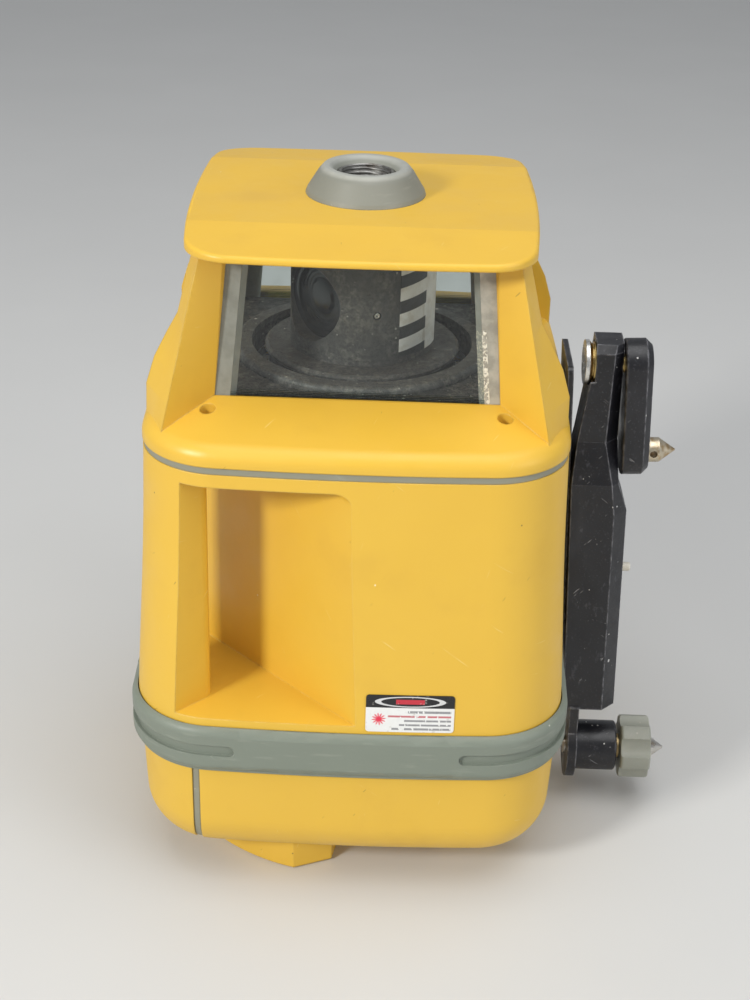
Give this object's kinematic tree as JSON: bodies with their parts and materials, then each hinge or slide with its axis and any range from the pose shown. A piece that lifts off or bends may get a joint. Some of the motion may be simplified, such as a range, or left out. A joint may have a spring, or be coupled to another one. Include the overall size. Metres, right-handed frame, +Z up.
{
  "type": "rotating laser level",
  "caption": "Rotating laser level: flared yellow housing with a corner handle, windowed rotor head under a flat roof, rubber belt, tripod thread and side floor bracket with spikes.",
  "frame": {"origin": "centre of the tripod thread's mouth, on the plane that the base stands on", "axes": "+Z up along the rotor's axis, -Y the front, +X the side that carries the floor bracket"},
  "size_m": [0.2387, 0.2018, 0.2945],
  "materials": {
    "housing_yellow": "satin moulded yellow",
    "trim_grey": "grey-green moulded rubber",
    "insert_steel": "machined steel",
    "clear_glass": "clear optical glass",
    "dark_interior": "dusty dark grey",
    "aperture_black": "gloss black",
    "code_label": "black and white striped film",
    "insert_brass": "machined brass",
    "panel_plastic": "textured dark grey",
    "button_rubber": "soft grey keys",
    "lamp_lens": "tinted lamp lens",
    "label_print": "printed film",
    "board_green": "circuit board",
    "frame_alloy": "machined aluminium",
    "motor_metal": "plated steel",
    "pulley_plastic": "natural acetal",
    "belt_rubber": "black flat belt",
    "tray_plastic": "black moulded tray",
    "cell_jacket": "printed cell jacket",
    "bracket_black": "black painted casting",
    "pivot_chrome": "plated bolt head",
    "knob_grey": "grey moulded knob"
  },
  "bodies": {
    "housing": {"upper_housing": "housing_yellow", "mid_housing": "housing_yellow", "lower_housing": "housing_yellow", "roof_cap": "housing_yellow", "roof_collar": "trim_grey", "collar_thread_insert": "insert_steel", "zenith_window": "clear_glass", "window_panes": "clear_glass", "window_corner_seals": "trim_grey", "well_deck": "dark_interior", "seam_gasket": "trim_grey", "bumper_band": "trim_grey", "base_plate": "housing_yellow", "tripod_thread_insert": "insert_brass", "housing_screws": "insert_steel", "control_panel": "panel_plastic", "status_lamps": "lamp_lens", "safety_label": "label_print", "main_board": "board_green", "gimbal_frame": "frame_alloy", "levelling_motors": "motor_metal", "bracket_plate": "bracket_black", "bracket_stem": "bracket_black", "bracket_screws": "insert_steel", "pivot_bolt": "pivot_chrome"},
    "battery_pack": {"battery_cap": "housing_yellow", "cap_gasket": "trim_grey", "battery_tray": "tray_plastic", "battery_cells": "cell_jacket"},
    "cap_screw_front": {"cap_screw_front": "insert_steel"},
    "cap_screw_rear": {"cap_screw_rear": "insert_steel"},
    "gimbal_ring": {"gimbal_ring": "frame_alloy"},
    "optical_head": {"head_housing": "dark_interior", "laser_module": "frame_alloy", "collimator_lens": "clear_glass", "level_vials": "clear_glass", "rotor_motor": "motor_metal", "spindle_bearings": "motor_metal", "drive_belt": "belt_rubber"},
    "rotor": {"rotor_hub": "dark_interior", "rotor_shell": "dark_interior", "rotor_prism": "clear_glass", "aperture_bezel": "aperture_black", "aperture_window": "clear_glass", "rotor_code_label": "code_label", "spindle": "frame_alloy", "spindle_pulley": "pulley_plastic"},
    "motor_pulley": {"motor_pulley": "pulley_plastic"},
    "pitch_nut": {"pitch_nut": "insert_brass"},
    "pitch_leadscrew": {"pitch_leadscrew": "motor_metal"},
    "roll_nut": {"roll_nut": "insert_brass"},
    "roll_leadscrew": {"roll_leadscrew": "motor_metal"},
    "power_button": {"power_button": "button_rubber"},
    "speed_button": {"speed_button": "button_rubber"},
    "manual_button": {"manual_button": "button_rubber"},
    "swing_leg": {"swing_leg": "bracket_black", "leg_spike": "insert_steel"},
    "level_carriage": {"level_collar": "insert_brass"},
    "level_knob": {"level_knob": "knob_grey", "level_screw": "insert_steel"}
  },
  "joints": [
    {"name": "rotor_spin", "type": "hinge", "parent": "optical_head", "child": "rotor", "pos_m": [0, 0, 0.243], "axis": [0, 0, 1], "continuous": true},
    {"name": "motor_spin", "type": "hinge", "parent": "optical_head", "child": "motor_pulley", "pos_m": [-0.02121, 0.02121, 0.21], "axis": [0, 0, 1], "continuous": true},
    {"name": "level_pitch", "type": "hinge", "parent": "housing", "child": "gimbal_ring", "pos_m": [0, 0, 0.18], "axis": [1, 0, 0], "range_deg": [-4, 4]},
    {"name": "level_roll", "type": "hinge", "parent": "gimbal_ring", "child": "optical_head", "pos_m": [0, 0, 0.18], "axis": [0, 1, 0], "range_deg": [-4, 4]},
    {"name": "pitch_nut_travel", "type": "slide", "parent": "housing", "child": "pitch_nut", "axis": [0, 0, 1], "range_m": [-0.00418, 0.00418]},
    {"name": "roll_nut_travel", "type": "slide", "parent": "housing", "child": "roll_nut", "axis": [0, 0, 1], "range_m": [-0.00418, 0.00418]},
    {"name": "pitch_leadscrew_spin", "type": "hinge", "parent": "housing", "child": "pitch_leadscrew", "pos_m": [0, 0.057, 0.17], "axis": [0, 0, 1], "range_deg": [-1600, 1600]},
    {"name": "roll_leadscrew_spin", "type": "hinge", "parent": "housing", "child": "roll_leadscrew", "pos_m": [0.057, 0, 0.13], "axis": [0, 0, 1], "range_deg": [-1600, 1600]},
    {"name": "battery_pack_slide", "type": "slide", "parent": "housing", "child": "battery_pack", "axis": [-1, 0, 0], "range_m": [0, 0.135]},
    {"name": "cap_screw_front_turn", "type": "hinge", "parent": "battery_pack", "child": "cap_screw_front", "pos_m": [-0.09, -0.05, 0.04], "axis": [-1, 0, 0], "range_deg": [0, 1080]},
    {"name": "cap_screw_rear_turn", "type": "hinge", "parent": "battery_pack", "child": "cap_screw_rear", "pos_m": [-0.09, 0.05, 0.04], "axis": [-1, 0, 0], "range_deg": [0, 1080]},
    {"name": "swing_leg_pivot", "type": "hinge", "parent": "housing", "child": "swing_leg", "pos_m": [0.11, -0.007, 0.2155], "axis": [1, 0, 0], "range_deg": [-90, 90]},
    {"name": "level_screw_travel", "type": "slide", "parent": "housing", "child": "level_carriage", "axis": [1, 0, 0], "range_m": [0, 0.012]},
    {"name": "level_knob_turn", "type": "hinge", "parent": "level_carriage", "child": "level_knob", "pos_m": [0.13329, -0.012, 0.0255], "axis": [1, 0, 0], "range_deg": [-10, 3500]},
    {"name": "power_press", "type": "slide", "parent": "housing", "child": "power_button", "axis": [0, -1, 0], "range_m": [0, 0.0012], "stiffness_N_per_m": 600, "springref_m": -0.0006},
    {"name": "speed_press", "type": "slide", "parent": "housing", "child": "speed_button", "axis": [0, -1, 0], "range_m": [0, 0.0012], "stiffness_N_per_m": 600, "springref_m": -0.0006},
    {"name": "manual_press", "type": "slide", "parent": "housing", "child": "manual_button", "axis": [0, -1, 0], "range_m": [0, 0.0012], "stiffness_N_per_m": 600, "springref_m": -0.0006}
  ],
  "couplings": [
    {"joint": "motor_spin", "follows": "rotor_spin", "ratio": 3},
    {"joint": "pitch_nut_travel", "follows": "level_pitch", "m_per_rad": 0.057},
    {"joint": "roll_nut_travel", "follows": "level_roll", "m_per_rad": -0.057},
    {"joint": "pitch_leadscrew_spin", "follows": "level_pitch", "ratio": 358.14},
    {"joint": "roll_leadscrew_spin", "follows": "level_roll", "ratio": -358.14},
    {"joint": "level_knob_turn", "follows": "level_screw_travel", "rad_per_m": 5026.5}
  ]
}
